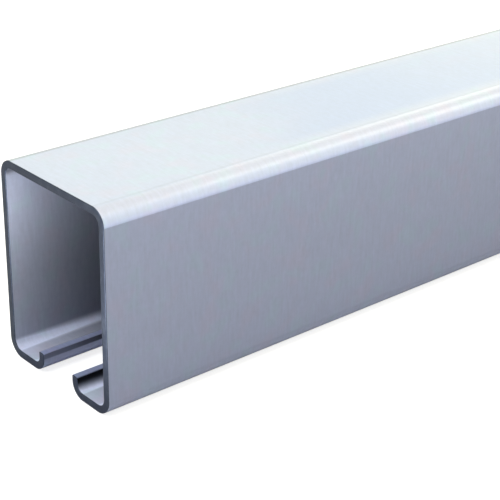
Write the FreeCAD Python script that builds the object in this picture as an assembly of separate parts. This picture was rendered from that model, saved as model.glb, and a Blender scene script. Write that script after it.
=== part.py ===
"""Box-section top track for a sliding door: one length of cold-rolled galvanised steel strip.

The strip is rolled into a box that is open underneath: a flat top, two side walls and two bottom
flanges that turn up again as lips on both sides of a slot. The door's hangers roll inside, in the
two troughs between wall and lip, and their bolts hang down through the slot.

Frame: X runs along the track, Y across it and Z up, in millimetres. The origin is at the middle of
the length, on the plane of the flanges' undersides, under the middle of the slot.
"""

import FreeCAD, Part
import math
import os

# Overall sizes
LENGTH = 1000.0  # cut length of the track
WIDTH = 48.0  # over the outside of the two side walls
HEIGHT = 60.0  # from the flanges' undersides to the top face

# The strip and its bends, each radius measured on the outside of the bend
SHEET = 2.25  # thickness of the strip
TOP_BEND = 4.75  # between the top and a side wall
BOTTOM_BEND = 5.25  # between a side wall and its flange
LIP_BEND = 4.5  # between a flange and its lip

# The slot under the track
SLOT = 14.0  # clear width between the two lips
LIP_HEIGHT = 6.2  # from the flange's underside to the lip's edge

ALONG = FreeCAD.Vector(LENGTH, 0, 0)


class Outline:
    """An open chain of lines and arcs in the YZ plane at the track's near end."""

    def __init__(self, y, z):
        """Starts the chain at the point (y, z)."""
        self.here = FreeCAD.Vector(-LENGTH / 2, y, z)
        self.edges = []

    def line_to(self, y, z):
        """Adds a straight edge to the point (y, z)."""
        there = FreeCAD.Vector(-LENGTH / 2, y, z)
        self.edges.append(Part.makeLine(self.here, there))
        self.here = there

    def bend(self, centre_y, centre_z, radius, start, end):
        """Adds a straight edge up to a bend, and then the bend.

        The bend is an arc about (centre_y, centre_z), from the angle start to the angle end, in
        degrees from +Y towards +Z.
        """
        y, z = self.on_arc(centre_y, centre_z, radius, start)
        self.line_to(y, z)
        middle = self.on_arc(centre_y, centre_z, radius, (start + end) / 2)
        there = self.on_arc(centre_y, centre_z, radius, end)
        points = [FreeCAD.Vector(-LENGTH / 2, *point) for point in (middle, there)]
        self.edges.append(Part.Arc(self.here, *points).toShape())
        self.here = points[-1]

    @staticmethod
    def on_arc(centre_y, centre_z, radius, angle):
        """Gives the point of a circle at an angle in degrees."""
        turn = math.radians(angle)
        return centre_y + radius * math.cos(turn), centre_z + radius * math.sin(turn)


def half_section():
    """Builds the strip's section on the +Y side, from the mid-plane of the top to the lip's edge."""
    wall = WIDTH / 2
    lip = SLOT / 2
    top_centre = (wall - TOP_BEND, HEIGHT - TOP_BEND)
    bottom_centre = (wall - BOTTOM_BEND, BOTTOM_BEND)
    lip_centre = (lip + LIP_BEND, LIP_BEND)

    outline = Outline(0, HEIGHT)
    # Down the outside of the strip
    outline.bend(*top_centre, TOP_BEND, 90, 0)
    outline.bend(*bottom_centre, BOTTOM_BEND, 0, -90)
    outline.bend(*lip_centre, LIP_BEND, 270, 180)
    outline.line_to(lip, LIP_HEIGHT)
    # Over the lip's edge and back along the inside
    outline.line_to(lip + SHEET, LIP_HEIGHT)
    outline.bend(*lip_centre, LIP_BEND - SHEET, 180, 270)
    outline.bend(*bottom_centre, BOTTOM_BEND - SHEET, -90, 0)
    outline.bend(*top_centre, TOP_BEND - SHEET, 0, 90)
    outline.line_to(0, HEIGHT - SHEET)
    outline.line_to(0, HEIGHT)
    return Part.Face(Part.Wire(outline.edges))


def box_track():
    """Builds the whole length of track as one solid."""
    half = half_section().extrude(ALONG)
    other_half = half.mirror(FreeCAD.Vector(0, 0, 0), FreeCAD.Vector(0, 1, 0))
    return half.fuse(other_half).removeSplitter()


def main():
    """Writes the track's STEP file."""
    os.makedirs("parts", exist_ok=True)
    track = box_track()
    track.exportStep("parts/box_track.step")
    box = track.BoundBox
    print(f"box_track: {len(track.Solids)} solid, {track.Volume:.0f} mm3, valid {track.isValid()}")
    print(f"  {box.XLength:.2f} x {box.YLength:.2f} x {box.ZLength:.2f} mm")


main()
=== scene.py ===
"""Looks of a sliding door's top track: one length of galvanised strip rolled into a slotted box.

The track lies on its two bottom flanges. X runs along it, Y across it and Z up, in metres.
"""

import logging
import math
from dataclasses import dataclass, field
from enum import Enum
from typing import Any

import bmesh
import bpy
from mathutils import Matrix, Vector


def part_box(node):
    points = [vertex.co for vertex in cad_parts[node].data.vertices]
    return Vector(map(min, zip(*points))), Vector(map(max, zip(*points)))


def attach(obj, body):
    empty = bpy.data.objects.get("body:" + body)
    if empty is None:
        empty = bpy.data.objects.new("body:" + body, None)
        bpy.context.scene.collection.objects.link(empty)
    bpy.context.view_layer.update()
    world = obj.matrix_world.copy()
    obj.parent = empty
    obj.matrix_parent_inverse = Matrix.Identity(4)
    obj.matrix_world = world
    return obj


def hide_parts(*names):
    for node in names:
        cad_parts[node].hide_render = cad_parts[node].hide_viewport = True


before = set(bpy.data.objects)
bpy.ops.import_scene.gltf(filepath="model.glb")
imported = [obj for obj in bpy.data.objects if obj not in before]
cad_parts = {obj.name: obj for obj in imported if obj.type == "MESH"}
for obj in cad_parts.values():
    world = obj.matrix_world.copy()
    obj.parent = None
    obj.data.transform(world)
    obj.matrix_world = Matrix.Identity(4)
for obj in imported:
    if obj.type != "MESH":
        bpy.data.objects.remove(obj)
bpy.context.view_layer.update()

LOG = logging.getLogger("sliding_door_track")
NODE = "box_track"
BODY = "root"
MM = 0.001
DEVELOPED = "developed"  # distance round the strip from the middle of the top, a mesh attribute
MERGE = 0.01 * MM  # points nearer than this are one

Colour = tuple[float, float, float]
Point = tuple[float, float, float]
Span = tuple[float, float]


class Face(Enum):
    """The kinds of surface on the track, as material slots of its mesh."""

    SKIN = 0
    INSIDE = 1
    CUT = 2


# ---------------------------------------------------------------------------------------------
# Shader maths
# ---------------------------------------------------------------------------------------------


class Wire:
    """One value in a node tree, so that shader maths reads as a Python expression."""

    def __init__(self, tree: "ShaderTree", socket: bpy.types.NodeSocket) -> None:
        """Wraps an output socket of a tree."""
        self.tree = tree
        self.socket = socket

    def math(self, operation: str, *others: "Wire | float") -> "Wire":
        """Applies a Math node to this value.

        Args:
            operation: the Math node's operation.
            others: its second and third values.

        Returns:
            The node's result.
        """
        sockets = dict(enumerate((self, *others)))
        return self.tree.add("ShaderNodeMath", {"operation": operation}, sockets, out=0)

    def __add__(self, other: "Wire | float") -> "Wire":
        """Gives self + other."""
        return self.math("ADD", other)

    def __mul__(self, other: "Wire | float") -> "Wire":
        """Gives self * other."""
        return self.math("MULTIPLY", other)

    def __sub__(self, other: "Wire | float") -> "Wire":
        """Gives self - other."""
        return self.math("SUBTRACT", other)

    def __rsub__(self, other: float) -> "Wire":
        """Gives other - self."""
        return self.tree.add("ShaderNodeMath", {"operation": "SUBTRACT"}, {0: other, 1: self}, out=0)

    def __pow__(self, other: "Wire | float") -> "Wire":
        """Gives self ** other."""
        return self.math("POWER", other)

    __radd__ = __add__
    __rmul__ = __mul__

    def step(self, start: float, end: float) -> "Wire":
        """Rises smoothly from 0, where this value is start, to 1, where it is end."""
        sockets = {"Value": self, "From Min": start, "From Max": end}
        return self.tree.add("ShaderNodeMapRange", {"interpolation_type": "SMOOTHSTEP"}, sockets, out=0)


Value = Wire | float | Colour


class ShaderTree:
    """A node tree that is emptied, and then filled through one method."""

    def __init__(self, tree: bpy.types.NodeTree) -> None:
        """Empties the tree."""
        self.tree = tree
        tree.nodes.clear()

    def add(
        self,
        kind: str,
        settings: dict[str, Any] | None = None,
        sockets: dict[int | str, Value] | None = None,
        out: int | str | None = None,
    ) -> Any:
        """Adds a node.

        Args:
            kind: the node's type.
            settings: its own settings, set before its sockets.
            sockets: what each input holds, by name or place: a value or a link.
            out: the output to give back.

        Returns:
            The output named by out as a Wire, or the node where out is None.
        """
        node = self.tree.nodes.new(kind)
        for name, setting in (settings or {}).items():
            setattr(node, name, setting)
        for key, value in (sockets or {}).items():
            socket = node.inputs[key]
            if isinstance(value, Wire):
                self.tree.links.new(value.socket, socket)
            elif isinstance(value, tuple) and len(socket.default_value) > len(value):
                socket.default_value = (*value, 1.0)
            else:
                socket.default_value = value
        return node if out is None else Wire(self, node.outputs[out])

    def mix(self, factor: Value, low: Value, high: Value, blend: str = "MIX") -> Wire:
        """Mixes two colours.

        Args:
            factor: how much of the second shows.
            low: the first colour.
            high: the second colour.
            blend: the Mix node's blend type.

        Returns:
            The mixed colour.
        """
        settings = {"data_type": "RGBA", "blend_type": blend}
        return self.add("ShaderNodeMix", settings, {0: factor, 6: low, 7: high}, out=2)

    def noise(self, vector: Wire, scale: float, detail: float = 2.0, roughness: float = 0.5) -> Wire:
        """Gives noise about 0.5.

        Args:
            vector: the place.
            scale: features per metre.
            detail: how many finer layers lie on the first.
            roughness: how strong each finer layer is.

        Returns:
            The noise.
        """
        sockets = {"Vector": vector, "Scale": scale, "Detail": detail, "Roughness": roughness}
        return self.add("ShaderNodeTexNoise", {"noise_dimensions": "3D"}, sockets, out=0)

    def vector(self, x: Value, y: Value, z: Value) -> Wire:
        """Makes a vector of three values."""
        return self.add("ShaderNodeCombineXYZ", {}, {0: x, 1: y, 2: z}, out=0)


# ---------------------------------------------------------------------------------------------
# Finishes
# ---------------------------------------------------------------------------------------------


@dataclass(frozen=True)
class Finish:
    """What all finishes of the steel share."""

    name: str

    def material(self) -> bpy.types.Material:
        """Makes the Blender material.

        Returns:
            The material, with its shader linked.
        """
        made = bpy.data.materials.new(self.name)
        made.use_nodes = True
        tree = ShaderTree(made.node_tree)
        tree.add("ShaderNodeOutputMaterial", {}, {"Surface": self.surface(tree)})
        return made

    def surface(self, tree: ShaderTree) -> Wire:
        """Builds the finish's shader in a tree and gives its output."""
        raise NotImplementedError


@dataclass(frozen=True)
class ZincSkin(Finish):
    """The zinc coat of rolled strip: satin, with marks across the strip and a faint mottle.

    Places round the strip are distances from the middle of the top. A span gives where something
    starts and where it is complete. Shares scale the coat's brightness, and paint highlights on the
    bends and shade on the lips.
    """

    colour: Colour = (0.408, 0.454, 0.662)
    roughness: float = 0.36
    metal: float = 0.6
    specular: float = 0.5
    # Marks across the strip, and the mottle
    streak_width: float = 0.9 * MM
    streak_length: float = 7.0 * MM
    streak_depth: float = 0.21
    patch_size: float = 8.0 * MM
    patch_depth: float = 0.05
    speckle_size: float = 1.6 * MM
    speckle_depth: float = 0.12
    wave_size: float = 90.0 * MM
    grain_size: float = 0.35 * MM
    # Tints, each a share of the colour
    cool: Colour = (0.965, 1.025, 0.98)
    warm: Colour = (1.04, 0.985, 0.98)
    tint_size: float = 10.0 * MM
    tint_slice: float = 0.3
    tint_edge: Span = (0.50, 0.68)
    # Bluish patches on the top, away from its sides and from the cut ends
    top_patch_share: Colour = (0.86, 0.905, 0.985)
    top_patch_size: float = 120.0 * MM
    top_patch_place: Point = (-0.012, -0.006, 4.0)
    top_patch_edge: Span = (0.46, 0.62)
    top_patch_sides: float = 0.7
    top_patch_ends: Span = (35.0 * MM, 80.0 * MM)
    # Gloss and relief
    streak_gloss: float = 0.08
    wave_gloss: float = 0.10
    streak_relief: float = 0.4
    grain_relief: float = 0.2
    wave_relief: float = 6.0
    relief: float = 0.02 * MM
    bump: float = 0.25
    # Where the ends, the bends and the lip's edge lie, and how crisp the edge of a painted highlight or
    # shade is
    end: float = 0.5
    bend: Span = (0.0, 1.0)
    low_bend: Span = (0.0, 1.0)
    lip: Span = (0.0, 1.0)
    rim: float = 1.0
    mark_edge: float = 0.25 * MM
    # Painted highlights on the bends, lessened on the far bend, painted shade on the lips' faces in the
    # slot, and a painted dark line along the top's edges
    bend_highlight: float = 0.35
    far_highlight_loss: float = 0.75
    low_bend_highlight: float = 0.45
    lip_bend_highlight: float = 0.30
    lip_shade: float = 0.96
    mouth_shade: float = 0.76
    lip_reach: float = 28.0 * MM
    rim_unshaded: float = 0.55
    lip_bend_shade: float = 0.45
    lip_bend_reach: float = 0.6
    dark_line_reach: float = 0.8 * MM
    dark_line_depth: float = 0.08

    def surface(self, tree: ShaderTree) -> Wire:
        """Builds the zinc coat's shader.

        Args:
            tree: the material's node tree.

        Returns:
            The shader's output.
        """
        place = tree.add("ShaderNodeTexCoord", out="Object")
        along = tree.add("ShaderNodeSeparateXYZ", {}, {0: place}, out=0)
        round_strip = tree.add("ShaderNodeAttribute", {"attribute_name": DEVELOPED}, out="Fac")
        sheet = tree.vector(along, round_strip, 0.0)
        stretched = tree.vector(along, round_strip * (self.streak_width / self.streak_length), 0.0)

        streaks = tree.noise(stretched, 1 / self.streak_width, 3.0, 0.6)
        patches = tree.noise(sheet, 1 / self.patch_size, 2.0)
        speckle = tree.noise(sheet, 1 / self.speckle_size, 2.0, 0.7)
        waves = tree.noise(sheet, 1 / self.wave_size, 1.0)
        grain = tree.noise(sheet, 1 / self.grain_size, 1.0)

        marks = (streaks - 0.5) * self.streak_depth + (patches - 0.5) * self.patch_depth
        marks = marks + (speckle - 0.5) * self.speckle_depth
        # The painted light and shade, with the marks on it
        shade = self.painted_light_and_shade(along, round_strip) * (1.0 + marks)
        tint = self.tint(tree, along, round_strip, patches)
        colour = tree.mix(1.0, tint, tree.vector(shade, shade, shade), "MULTIPLY")
        rough = self.roughness + (streaks - 0.5) * self.streak_gloss + (waves - 0.5) * self.wave_gloss
        height = streaks * self.streak_relief + grain * self.grain_relief + waves * self.wave_relief
        bump_sockets = {"Strength": self.bump, "Distance": self.relief, "Height": height}
        sockets = {
            "Base Color": colour,
            "Roughness": rough,
            "Metallic": self.metal,
            "Specular IOR Level": self.specular,
            "Normal": tree.add("ShaderNodeBump", {}, bump_sockets, out=0),
        }
        return tree.add("ShaderNodeBsdfPrincipled", {}, sockets, out=0)

    def tint(self, tree: ShaderTree, along: Wire, round_strip: Wire, patches: Wire) -> Wire:
        """Builds the coat's colour before it is shaded.

        Args:
            tree: the material's node tree.
            along: the place along the track.
            round_strip: the place round the strip.
            patches: noise that the cool patches follow.

        Returns:
            The colour, with its warm and cool patches and the bluish patches on the top.
        """
        turned = tree.vector(round_strip, along, self.tint_slice)
        tints = tree.noise(turned, 1 / self.tint_size, 2.0)
        tint = tree.mix(tints.step(*self.tint_edge), self.colour, self.tinted(self.warm))
        tint = tree.mix(patches.step(*self.tint_edge), tint, self.tinted(self.cool))
        shift_along, shift_round, bloom_slice = self.top_patch_place
        moved = tree.vector(along + shift_along, round_strip + shift_round, bloom_slice)
        top_patches = tree.noise(moved, 1 / self.top_patch_size, 1.0).step(*self.top_patch_edge)
        inward = (self.end - along.math("ABSOLUTE")).step(*self.top_patch_ends)
        top = 1.0 - round_strip.math("ABSOLUTE").step(self.bend[0] * self.top_patch_sides, self.bend[0])
        return tree.mix(top_patches * top * inward, tint, self.tinted(self.top_patch_share))

    def tinted(self, tint: Colour) -> Colour:
        """Gives the coat's colour with each part of it scaled."""
        return tuple(part * share for part, share in zip(self.colour, tint))

    def painted_light_and_shade(self, along: Wire, round_strip: Wire) -> Wire:
        """Gives the light and shade painted on the coat, about 1: highlights on the bends, a dark line
        along the top's edges and shade on the lips.

        Args:
            along: the place along the track.
            round_strip: the place round the strip.

        Returns:
            The share of the colour that shows.
        """
        depth = self.end - along.math("ABSOLUTE")
        out = round_strip.math("ABSOLUTE")
        start, stop = self.bend
        above_wall = 1.0 - out.step(stop - self.mark_edge, stop)
        far = round_strip.step(start - self.mark_edge, start + self.mark_edge)
        # Painted highlight on the top's bends, lessened on the far bend
        bend = (out.step(start, stop) - far * self.far_highlight_loss) * above_wall
        # Painted dark line along the edges of the top
        dark_line = (1.0 - (out - start).math("ABSOLUTE").step(0.0, self.dark_line_reach)) * self.dark_line_depth
        # Painted highlights on the low bends and on the lips' bends
        bright = 1.0 + bend * self.bend_highlight + out.step(*self.low_bend) * self.low_bend_highlight
        bright = bright + out.step(*self.lip) * self.lip_bend_highlight
        # The painted shade on the lips' faces takes its share off
        return (bright - dark_line) * (1.0 - self.painted_lip_shade(depth, out))

    def painted_lip_shade(self, depth: Wire, out: Wire) -> Wire:
        """Gives the painted shade on the lips' faces in the slot, which thins down their bends.

        Args:
            depth: the distance from the nearer cut end.
            out: the distance round the strip from the middle of the top.

        Returns:
            The share of the colour that the painted shade hides.
        """
        start, stop = self.lip
        face = out.step(stop - self.mark_edge, stop + self.mark_edge)
        # Painted shade on the lips' faces, lighter at the track's mouth and near the rim, and thinning
        # down the lip's bend
        shade_by_depth = self.mouth_shade + depth.step(0.0, self.lip_reach) * (1.0 - self.mouth_shade)
        rim = out.step(self.rim - self.mark_edge, self.rim) * self.rim_unshaded
        bend_shade = out.step(stop - self.lip_bend_reach * (stop - start), stop) * self.lip_bend_shade
        return face * shade_by_depth * self.lip_shade * (1.0 - rim) + (1.0 - face) * bend_shade


@dataclass(frozen=True)
class InnerZinc(ZincSkin):
    """The zinc inside the track, with painted shade that deepens from the open ends into the channel.

    Painted highlights lie on the bends, on the flanges near the ends and at the lips' feet; painted
    shade darkens the lower walls, the top's inner bends and the lips' inner faces.
    """

    colour: Colour = (0.47, 0.505, 0.62)
    top_patch_share: Colour = (1.0, 1.0, 1.0)
    roughness: float = 0.55
    metal: float = 0.25
    specular: float = 0.0
    # Painted light and shade: bright at the open ends, shaded deep in and down the walls, with painted
    # highlights and shaded zones round the strip
    brightest: float = 1.55
    reach: float = 44.0 * MM
    end_light: float = 1.75
    deep_shade: float = 0.62
    wall: Span = (0.0, 1.0)
    foot_shade: float = 0.56
    bend_highlight: float = 2.3
    flange: Span = (0.0, 1.0)
    flange_light: float = 0.62
    flange_end_light: float = 1.22
    lip_foot_highlight: float = 0.65
    lip_foot_highlight_reach: float = 1.2 * MM
    corner_shade: Span = (0.0, 1.0)
    corner_fade: Span = (0.92, 1.05)
    corner_shade_depth: float = 0.72
    lip_shade: float = 0.985

    def painted_light_and_shade(self, along: Wire, round_strip: Wire) -> Wire:
        """Paints light that falls from the open ends to the shaded middle, with painted highlights and
        shade round the strip.

        Args:
            along: the place along the track.
            round_strip: the place round the strip.

        Returns:
            The share of the colour that shows, at most the brightest.
        """
        depth = self.end - along.math("ABSOLUTE")
        near = (1.0 - depth * (1.0 / self.reach)).math("MAXIMUM", 0.0)
        out = round_strip.math("ABSOLUTE")
        # Painted shade deepening from the open ends into the channel
        wall = self.deep_shade + near**2.0 * (self.end_light - self.deep_shade)
        run = out.step(*self.flange)
        bend = out.step(*self.bend) * (1.0 - run)
        # Painted shade darkening the lower wall, and a painted highlight in the bend above the flange
        wall = wall * (1.0 - out.step(*self.wall) * (1.0 - self.foot_shade)) * (1.0 + bend * self.bend_highlight)
        # Painted light on the flanges, much brighter near the open ends
        flange_light = self.flange_light + near**4.0 * (self.flange_end_light - self.flange_light)
        behind = out.step(*self.lip)
        # Painted highlight at the foot of each lip
        lip_foot_highlight = out.step(self.lip[0] - self.lip_foot_highlight_reach, self.lip[0]) * (1.0 - behind) * self.lip_foot_highlight
        start, stop = self.corner_shade
        fade_from, fade_to = (share * stop for share in self.corner_fade)
        # Painted shade in the top's inner bends
        corner_shade = out.step(start - self.mark_edge, start) * (1.0 - out.step(fade_from, fade_to))
        lit = (wall + run * (flange_light - wall) + lip_foot_highlight) * (1.0 - corner_shade * self.corner_shade_depth)
        # Painted shade on the lips' inner faces, under the cap on brightness
        return (lit * (1.0 - behind * self.lip_shade)).math("MINIMUM", self.brightest)


@dataclass(frozen=True)
class CutSteel(Finish):
    """The strip's bare thickness where the track was cut to length: finely scored, and darkened with
    painted shade.
    """

    # Dark colours that paint in the shade of the cut ends
    colour: Colour = (0.085, 0.105, 0.16)
    pale: Colour = (0.115, 0.138, 0.195)
    roughness: float = 0.42
    score_width: float = 0.35 * MM
    score_stretch: float = 0.06
    score_depth: float = 0.25
    patch_size: float = 2.6 * MM
    patch_edge: Span = (0.4, 0.75)
    patch_gloss: float = 0.2
    relief: float = 0.02 * MM
    bump: float = 0.4

    def surface(self, tree: ShaderTree) -> Wire:
        """Builds the cut steel's shader.

        Args:
            tree: the material's node tree.

        Returns:
            The shader's output.
        """
        place = tree.add("ShaderNodeTexCoord", out="Object")
        split = tree.add("ShaderNodeSeparateXYZ", {}, {0: place})
        across, height = (Wire(tree, split.outputs[i]) for i in (1, 2))
        scored = tree.vector(0.0, across * self.score_stretch, height)
        scores = tree.noise(scored, 1 / self.score_width, 2.0, 0.6)
        patches = tree.noise(place, 1 / self.patch_size, 3.0, 0.6)
        colour = tree.mix(patches.step(*self.patch_edge), self.colour, self.pale)
        shade = 1.0 + (scores - 0.5) * self.score_depth
        colour = tree.mix(1.0, colour, tree.vector(shade, shade, shade), "MULTIPLY")
        bump_sockets = {"Strength": self.bump, "Distance": self.relief, "Height": scores}
        sockets = {
            "Base Color": colour,
            "Roughness": self.roughness + (patches - 0.5) * self.patch_gloss,
            "Metallic": 1.0,
            "Normal": tree.add("ShaderNodeBump", {}, bump_sockets, out=0),
        }
        return tree.add("ShaderNodeBsdfPrincipled", {}, sockets, out=0)


@dataclass(frozen=True)
class PaleFloor(Finish):
    """A pale floor that shows the camera near-white and keeps the track's shadow."""

    grey: float = 0.43
    veil: float = 0.78

    def surface(self, tree: ShaderTree) -> Wire:
        """Builds the floor's shader.

        Args:
            tree: the material's node tree.

        Returns:
            The shader's output.
        """
        path = tree.add("ShaderNodeLightPath")
        seen = Wire(tree, path.outputs["Is Camera Ray"])
        matt = tree.add("ShaderNodeBsdfDiffuse", {}, {"Color": (self.grey,) * 3}, out=0)
        glow = tree.add("ShaderNodeEmission", {}, {"Color": (1.0,) * 3, "Strength": self.veil}, out=0)
        lifted = tree.add("ShaderNodeAddShader", {}, {0: matt, 1: glow}, out=0)
        return tree.add("ShaderNodeMixShader", {}, {0: seen, 1: matt, 2: lifted}, out=0)


# ---------------------------------------------------------------------------------------------
# The track
# ---------------------------------------------------------------------------------------------


@dataclass
class RolledTrack:
    """The strip, rolled to its section and cut to length."""

    low: Vector
    high: Vector
    sheet: float = 2.25 * MM
    top_bend: float = 4.75 * MM
    bottom_bend: float = 5.25 * MM
    lip_bend: float = 4.5 * MM
    slot: float = 14.0 * MM
    lip_height: float = 6.2 * MM
    bend_steps: int = 20
    end_break: float = 0.22 * MM
    lip_break: float = 0.30 * MM
    break_steps: int = 3
    cut_facing: float = 0.9
    sharp_edge: float = 60.0
    smooth_below: float = 35.0
    # Shares of the way down the wall, round a bend or across the flange, where the inside's painted
    # light and shade change
    wall_shaded: float = 0.7
    bend_peak: float = 0.65
    run_from: float = 0.15
    behind_lip: Span = (0.05, 1.1)
    cut: Finish = field(default_factory=lambda: CutSteel("cut_steel"))

    def build(self) -> bpy.types.Object:
        """Models the track and dresses it.

        Returns:
            The track's object, at the origin.
        """
        strip = bmesh.new()
        self._bend_half(strip)
        self._measure_round(strip)
        self._mirror_half(strip)
        self._run_along(strip)
        self._thicken(strip)
        self._mark_cuts(strip)
        self._break_edges(strip)
        mesh = bpy.data.meshes.new("rolled_strip")
        strip.to_mesh(mesh)
        strip.free()
        return self._dress(mesh)

    def _bend_half(self, strip: bmesh.types.BMesh) -> None:
        """Draws the outside of the +Y half as corner points, and rounds each corner as a bend.

        Args:
            strip: the mesh to draw in.
        """
        wall, lip = self.high.y, self.slot / 2
        corners = {
            (0.0, self.high.z): 0.0,
            (wall, self.high.z): self.top_bend,
            (wall, self.low.z): self.bottom_bend,
            (lip, self.low.z): self.lip_bend,
            (lip, self.lip_height): 0.0,
        }
        verts = [strip.verts.new((self.low.x, y, z)) for y, z in corners]
        for start, end in zip(verts, verts[1:]):
            strip.edges.new((start, end))
        for vert, radius in zip(verts, corners.values()):
            if radius:
                bmesh.ops.bevel(
                    strip,
                    geom=[vert],
                    offset=radius,
                    offset_type="OFFSET",
                    segments=self.bend_steps,
                    profile=0.5,
                    affect="VERTICES",
                    material=-1,
                )

    @staticmethod
    def _measure_round(strip: bmesh.types.BMesh) -> None:
        """Notes on each point how far round the strip it lies from the middle of the top.

        Args:
            strip: the half section.
        """
        layer = strip.verts.layers.float.new(DEVELOPED)
        here = min(strip.verts, key=lambda vert: (abs(vert.co.y), -vert.co.z))
        done, walked = set(), 0.0
        while True:
            here[layer] = walked
            onward = [edge for edge in here.link_edges if edge not in done]
            if not onward:
                return
            done.add(onward[0])
            walked += onward[0].calc_length()
            here = onward[0].other_vert(here)

    @staticmethod
    def _mirror_half(strip: bmesh.types.BMesh) -> None:
        """Mirrors the half section to -Y, where the distance round the strip is negative.

        Args:
            strip: the half section.
        """
        geom = [*strip.verts, *strip.edges]
        bmesh.ops.mirror(strip, geom=geom, matrix=Matrix.Identity(4), merge_dist=MERGE, axis="Y")
        layer = strip.verts.layers.float[DEVELOPED]
        for vert in strip.verts:
            vert[layer] = math.copysign(vert[layer], vert.co.y)

    def _run_along(self, strip: bmesh.types.BMesh) -> None:
        """Runs the bent line along the track as a sheet that faces outwards.

        Args:
            strip: the whole section.
        """
        made = bmesh.ops.extrude_edge_only(strip, edges=strip.edges[:])["geom"]
        moved = [item for item in made if isinstance(item, bmesh.types.BMVert)]
        bmesh.ops.translate(strip, verts=moved, vec=(self.high.x - self.low.x, 0.0, 0.0))
        bmesh.ops.recalc_face_normals(strip, faces=strip.faces[:])
        top = max(strip.faces, key=lambda face: face.calc_center_median().z)
        if top.normal.z < 0:
            bmesh.ops.reverse_faces(strip, faces=strip.faces[:])

    def _thicken(self, strip: bmesh.types.BMesh) -> None:
        """Gives the sheet its thickness inwards, and marks the wall that it adds as the inside.

        Args:
            strip: the bent sheet.
        """
        made = bmesh.ops.solidify(strip, geom=strip.faces[:], thickness=self.sheet)["geom"]
        for face in made:
            if isinstance(face, bmesh.types.BMFace):
                face.material_index = Face.INSIDE.value

    def _mark_cuts(self, strip: bmesh.types.BMesh) -> None:
        """Tells the cut ends from the zinc.

        Args:
            strip: the thick strip.
        """
        strip.normal_update()
        for face in strip.faces:
            if abs(face.normal.x) > self.cut_facing:
                face.material_index = Face.CUT.value

    def _break_edges(self, strip: bmesh.types.BMesh) -> None:
        """Breaks the sharp edges along the lips, and then those round the cut ends.

        Args:
            strip: the thick strip.
        """
        self._bevel(strip, self._lip_edges(strip), self.lip_break, Face.SKIN)
        self._bevel(strip, self._end_edges(strip), self.end_break, Face.CUT)
        for face in strip.faces:
            face.smooth = True

    def _lip_edges(self, strip: bmesh.types.BMesh) -> list[bmesh.types.BMEdge]:
        """Finds the sharp edges that run along the track.

        Args:
            strip: the thick strip.

        Returns:
            The four edges of the lips' rims.
        """
        return [
            edge
            for edge in strip.edges
            if abs(edge.verts[0].co.x - edge.verts[1].co.x) > self.sheet
            and edge.calc_face_angle(0.0) > math.radians(self.sharp_edge)
        ]

    @staticmethod
    def _end_edges(strip: bmesh.types.BMesh) -> list[bmesh.types.BMEdge]:
        """Finds the edges between the cut ends and the zinc.

        Args:
            strip: the thick strip, with its cut ends marked.

        Returns:
            The edges with a cut face on one side only.
        """
        cut = Face.CUT.value
        return [
            edge
            for edge in strip.edges
            if sum(face.material_index == cut for face in edge.link_faces) == 1
        ]

    def _bevel(
        self, strip: bmesh.types.BMesh, edges: list[bmesh.types.BMEdge], width: float, kind: Face
    ) -> None:
        """Rounds edges.

        Args:
            strip: the thick strip.
            edges: its edges to round.
            width: how far each rounding reaches from its edge.
            kind: the kind of the faces that it makes.
        """
        bmesh.ops.bevel(
            strip,
            geom=edges,
            offset=width,
            offset_type="OFFSET",
            segments=self.break_steps,
            profile=0.5,
            affect="EDGES",
            material=kind.value,
            clamp_overlap=True,
        )

    def _zinc(self) -> tuple[Finish, Finish]:
        """Lays out the zinc and its painted light and shade by the strip's developed width.

        Returns:
            The finishes of the outside and of the inside.
        """
        quarter = math.pi / 2
        flat_top = self.high.y - self.top_bend
        wall_top = flat_top + quarter * self.top_bend
        wall_foot = wall_top + self.high.z - self.top_bend - self.bottom_bend
        flange = wall_foot + quarter * self.bottom_bend
        lip_foot = flange + self.high.y - self.bottom_bend - self.slot / 2 - self.lip_bend
        lip_face = lip_foot + quarter * self.lip_bend
        peak = wall_foot + self.bend_peak * (flange - wall_foot)
        behind_from, behind_full = self.behind_lip
        # The inside's painted light and shade, laid out round the strip
        inner = InnerZinc(
            "inner_zinc",
            end=self.high.x,
            wall=(wall_top, wall_top + self.wall_shaded * (wall_foot - wall_top)),
            bend=(wall_foot, peak),
            flange=(peak, flange + self.run_from * (lip_foot - flange)),
            corner_shade=(flat_top, wall_top),
            lip=(
                lip_foot + behind_from * (lip_face - lip_foot),
                lip_foot + behind_full * (lip_face - lip_foot),
            ),
        )
        # The outside's painted highlights and shade, laid out round the strip
        skin = ZincSkin(
            "zinc_skin",
            end=self.high.x,
            bend=(flat_top, wall_top),
            low_bend=(wall_foot, (wall_foot + flange) / 2),
            lip=(lip_foot, lip_face),
            rim=lip_face + self.lip_height - self.lip_bend,
        )
        return skin, inner

    def _dress(self, mesh: bpy.types.Mesh) -> bpy.types.Object:
        """Turns the mesh into an object with its finishes.

        Args:
            mesh: the track's mesh, with its faces marked by kind.

        Returns:
            The object.
        """
        for finish in (*self._zinc(), self.cut):  # in the order of Face
            mesh.materials.append(finish.material())
        piece = bpy.data.objects.new("rolled_track", mesh)
        bpy.context.scene.collection.objects.link(piece)
        mesh.set_sharp_from_angle(angle=math.radians(self.smooth_below))
        flats = piece.modifiers.new("flats", "WEIGHTED_NORMAL")
        flats.mode = "FACE_AREA"
        flats.keep_sharp = True
        flats.weight = 100
        return piece


# ---------------------------------------------------------------------------------------------
# The studio
# ---------------------------------------------------------------------------------------------


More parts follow.
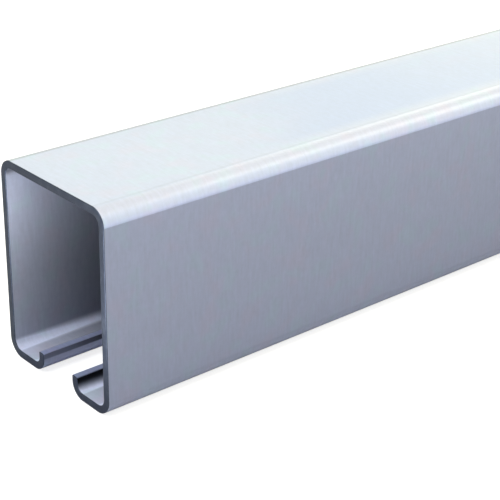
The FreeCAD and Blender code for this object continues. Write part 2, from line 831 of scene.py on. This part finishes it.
@dataclass(frozen=True)
class SoftLamp:
    """A rectangular soft lamp that faces a point."""

    name: str
    place: Point
    target: Point
    size: Span
    level: float
    colour: Colour = (1.0, 1.0, 1.0)

    def build(self) -> bpy.types.Object:
        """Makes the lamp, at a power that gives its face the brightness level.

        Returns:
            The lamp's object.
        """
        data = bpy.data.lights.new(self.name, "AREA")
        data.shape = "RECTANGLE"
        data.size, data.size_y = self.size
        data.energy = self.level * math.pi * self.size[0] * self.size[1]
        data.color = self.colour
        lamp = bpy.data.objects.new(self.name, data)
        lamp.location = self.place
        aim = Vector(self.target) - Vector(self.place)
        lamp.rotation_euler = aim.to_track_quat("-Z", "Y").to_euler()
        lamp.visible_camera = False
        bpy.context.scene.collection.objects.link(lamp)
        return lamp


@dataclass(frozen=True)
class Viewpoint:
    """Where the camera stands, in widths of the track from the middle of its near end's foot."""

    along: float = -3.895
    across: float = -6.157
    up: float = 4.263
    heading: float = 49.10
    dip: float = 25.20
    roll: float = 1.015
    lens: float = 104.42

    def build(self, low: Vector, high: Vector) -> bpy.types.Object:
        """Makes the camera and sets it as the scene's.

        Args:
            low: the track's lowest corner.
            high: the track's highest corner.

        Returns:
            The camera's object.
        """
        width = high.y - low.y
        heading, dip, roll = (math.radians(angle) for angle in (self.heading, self.dip, self.roll))
        ahead = Vector(
            (math.cos(heading) * math.cos(dip), math.sin(heading) * math.cos(dip), -math.sin(dip))
        )
        level = Vector((math.sin(heading), -math.cos(heading), 0.0))
        turned = Matrix.Rotation(-roll, 3, ahead) @ level
        axes = Matrix((turned, turned.cross(ahead), -ahead)).transposed()
        data = bpy.data.cameras.new("camera")
        data.sensor_width = 36.0
        data.lens = self.lens
        camera = bpy.data.objects.new("camera", data)
        place = Vector((low.x, 0.0, low.z)) + width * Vector((self.along, self.across, self.up))
        camera.matrix_world = Matrix.Translation(place) @ axes.to_4x4()
        bpy.context.scene.collection.objects.link(camera)
        bpy.context.scene.camera = camera
        return camera


@dataclass
class Studio:
    """Floor, lamps and surroundings."""

    floor_size: float = 60.0
    floor_gap: float = 0.3 * MM
    horizon: float = 0.30
    zenith: float = 0.50
    zenith_from: float = 0.7

    def build(self) -> None:
        """Makes the whole studio."""
        scene = bpy.context.scene
        scene.view_settings.view_transform = "Standard"
        self._floor()
        self._surroundings(scene)
        middle, near_end = (0.0, 0.0, 0.0), (-0.5, 0.0, 0.0)
        for lamp in (
            SoftLamp("back_lamp", (1.4, 1.9, 1.0), middle, (3.4, 2.4), 1.45, (1.0, 1.0, 0.66)),
            SoftLamp("over_lamp", (1.4, 0.0, 1.9), middle, (3.3, 2.4), 1.5, (1.0, 0.87, 0.45)),
            SoftLamp("side_lamp", (1.5, -1.8, 1.05), middle, (2.8, 2.4), 1.12, (1.0, 0.98, 0.62)),
            SoftLamp("apron", (0.6, -1.35, 0.001), (0.6, -1.35, 1.0), (3.0, 2.3), 0.8),
            SoftLamp("key_lamp", (-1.5, -0.1, 1.7), near_end, (1.0, 1.0), 8.5),
            SoftLamp("end_card", (-0.61, -0.015, 0.001), (-0.61, -0.015, 1.0), (0.14, 0.06), 7.6),
        ):
            lamp.build()

    def _floor(self) -> None:
        """Lays the floor just under the flanges."""
        shape = bmesh.new()
        bmesh.ops.create_grid(shape, x_segments=1, y_segments=1, size=self.floor_size / 2)
        bmesh.ops.translate(shape, verts=shape.verts[:], vec=(0.0, 0.0, -self.floor_gap))
        mesh = bpy.data.meshes.new("floor")
        shape.to_mesh(mesh)
        shape.free()
        mesh.materials.append(PaleFloor("pale_floor").material())
        floor = bpy.data.objects.new("floor", mesh)
        bpy.context.scene.collection.objects.link(floor)

    def _surroundings(self, scene: bpy.types.Scene) -> None:
        """Lights the scene from all round, and shows the camera plain white.

        Args:
            scene: the scene to light.
        """
        world = bpy.data.worlds.new("surroundings")
        world.use_nodes = True
        scene.world = world
        tree = ShaderTree(world.node_tree)
        direction = tree.add("ShaderNodeTexCoord", out="Generated")
        split = tree.add("ShaderNodeSeparateXYZ", {}, {0: direction})
        height = Wire(tree, split.outputs[2])
        level = self.horizon + height.step(0.0, self.zenith_from) * (self.zenith - self.horizon)
        seen = tree.add("ShaderNodeLightPath", out="Is Camera Ray")
        white = level + seen * (1.0 - level)
        glow = tree.add("ShaderNodeBackground", {}, {"Color": (1.0,) * 3, "Strength": white}, out=0)
        tree.add("ShaderNodeOutputWorld", {}, {"Surface": glow})


def main() -> None:
    """Builds the camera, the track and the studio."""
    logging.basicConfig(level=logging.INFO, format="%(name)s: %(message)s")
    low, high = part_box(NODE)
    Viewpoint().build(low, high)
    track = RolledTrack(low, high).build()
    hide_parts(NODE)
    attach(track, BODY)
    LOG.info("%s: %d faces", track.name, len(track.data.polygons))
    Studio().build()


if __name__ == "__main__":
    main()
